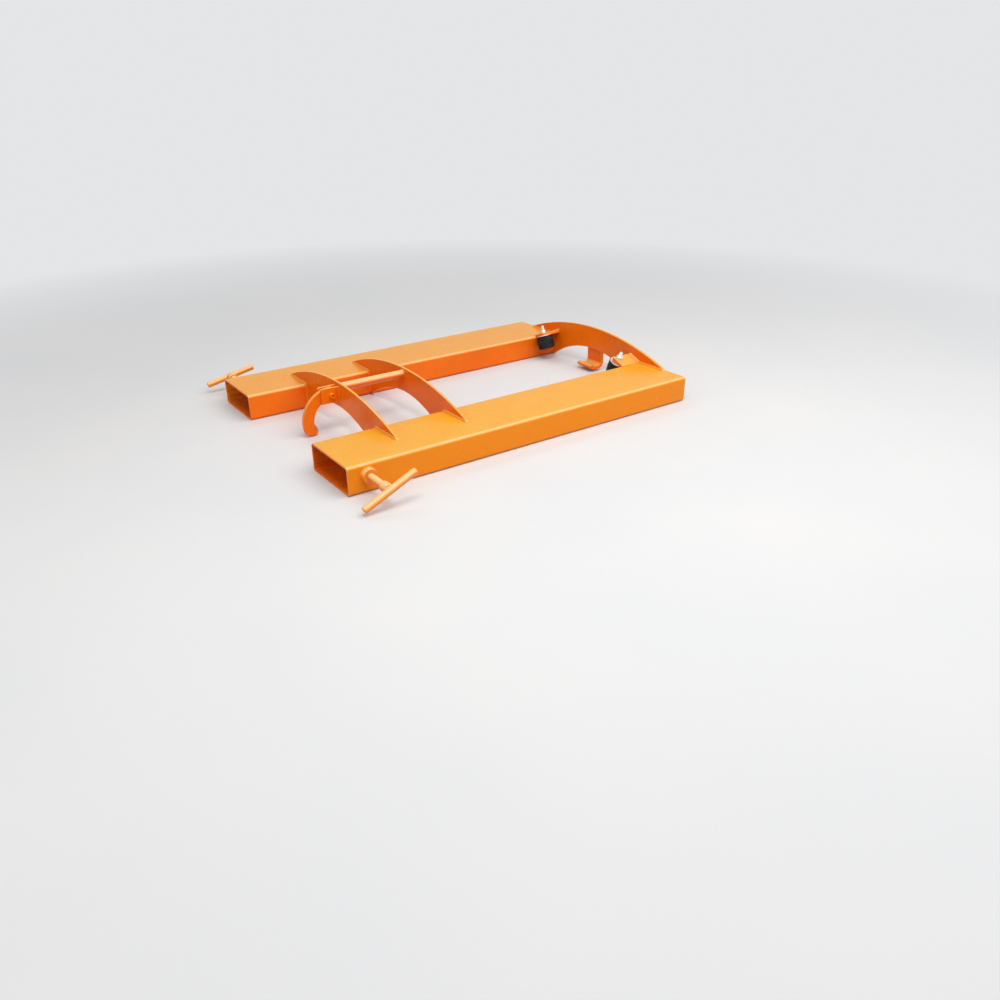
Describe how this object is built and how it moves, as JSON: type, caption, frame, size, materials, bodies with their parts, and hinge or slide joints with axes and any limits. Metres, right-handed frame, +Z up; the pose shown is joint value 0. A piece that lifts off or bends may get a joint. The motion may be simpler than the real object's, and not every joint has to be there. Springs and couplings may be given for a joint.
{
  "type": "drum lifter",
  "caption": "Lifting frame that slides onto a fork truck and carries a lying steel drum between a swinging rim hook, a fixed rim claw and rubber buffers, held by clamp screws.",
  "frame": {"origin": "under the middle of the whole part, on the plane it stands on", "axes": "+X forward from the pocket mouths to the front arch, +Y to the left, +Z up"},
  "size_m": [1.0204, 0.932, 0.1229],
  "materials": {
    "orange_paint": "gloss",
    "zinc_plate": "satin",
    "black_rubber": "matte",
    "bare_steel": "satin"
  },
  "bodies": {
    "frame": {"right_pocket_roof": "orange_paint", "left_pocket_roof": "orange_paint", "right_pocket_floor": "orange_paint", "left_pocket_floor": "orange_paint", "right_pocket_inner_wall": "orange_paint", "left_pocket_inner_wall": "orange_paint", "right_pocket_outer_wall": "orange_paint", "left_pocket_outer_wall": "orange_paint", "rear_arch": "orange_paint", "middle_arch": "orange_paint", "front_arch": "orange_paint", "tie_rod": "orange_paint", "right_hook_lug": "orange_paint", "left_hook_lug": "orange_paint", "hook_bolt": "orange_paint", "hook_washer": "orange_paint", "hook_nut": "orange_paint", "front_claw": "orange_paint", "right_buffer_tab": "orange_paint", "left_buffer_tab": "orange_paint", "right_clamp_boss": "orange_paint", "left_clamp_boss": "orange_paint", "right_buffer_stud": "zinc_plate", "left_buffer_stud": "zinc_plate", "right_buffer_washer": "zinc_plate", "left_buffer_washer": "zinc_plate", "right_buffer_nut": "zinc_plate", "left_buffer_nut": "zinc_plate", "right_buffer_rubber": "black_rubber", "left_buffer_rubber": "black_rubber"},
    "hook": {"hook": "orange_paint"},
    "right_pad": {"right_clamp_pad": "bare_steel", "right_clamp_ring": "bare_steel"},
    "right_screw": {"right_clamp_spindle": "orange_paint", "right_clamp_bar": "orange_paint"},
    "left_pad": {"left_clamp_pad": "bare_steel", "left_clamp_ring": "bare_steel"},
    "left_screw": {"left_clamp_spindle": "orange_paint", "left_clamp_bar": "orange_paint"}
  },
  "joints": [
    {"name": "hook_swing", "type": "hinge", "parent": "frame", "child": "hook", "pos_m": [-0.35181, 0, 0.0955], "axis": [0, 1, 0], "range_deg": [0, 90]},
    {"name": "right_feed", "type": "slide", "parent": "frame", "child": "right_pad", "axis": [0, 1, 0], "range_m": [0, 0.0401]},
    {"name": "right_turn", "type": "hinge", "parent": "right_pad", "child": "right_screw", "pos_m": [-0.44281, -0.4, 0.04], "axis": [0, 1, 0], "range_deg": [0, 7200]},
    {"name": "left_feed", "type": "slide", "parent": "frame", "child": "left_pad", "axis": [0, -1, 0], "range_m": [0, 0.0401]},
    {"name": "left_turn", "type": "hinge", "parent": "left_pad", "child": "left_screw", "pos_m": [-0.44281, 0.4, 0.04], "axis": [0, -1, 0], "range_deg": [0, 7200]}
  ],
  "couplings": [
    {"joint": "right_feed", "follows": "right_turn", "m_per_rad": 0.00031831},
    {"joint": "left_feed", "follows": "left_turn", "m_per_rad": 0.00031831}
  ]
}
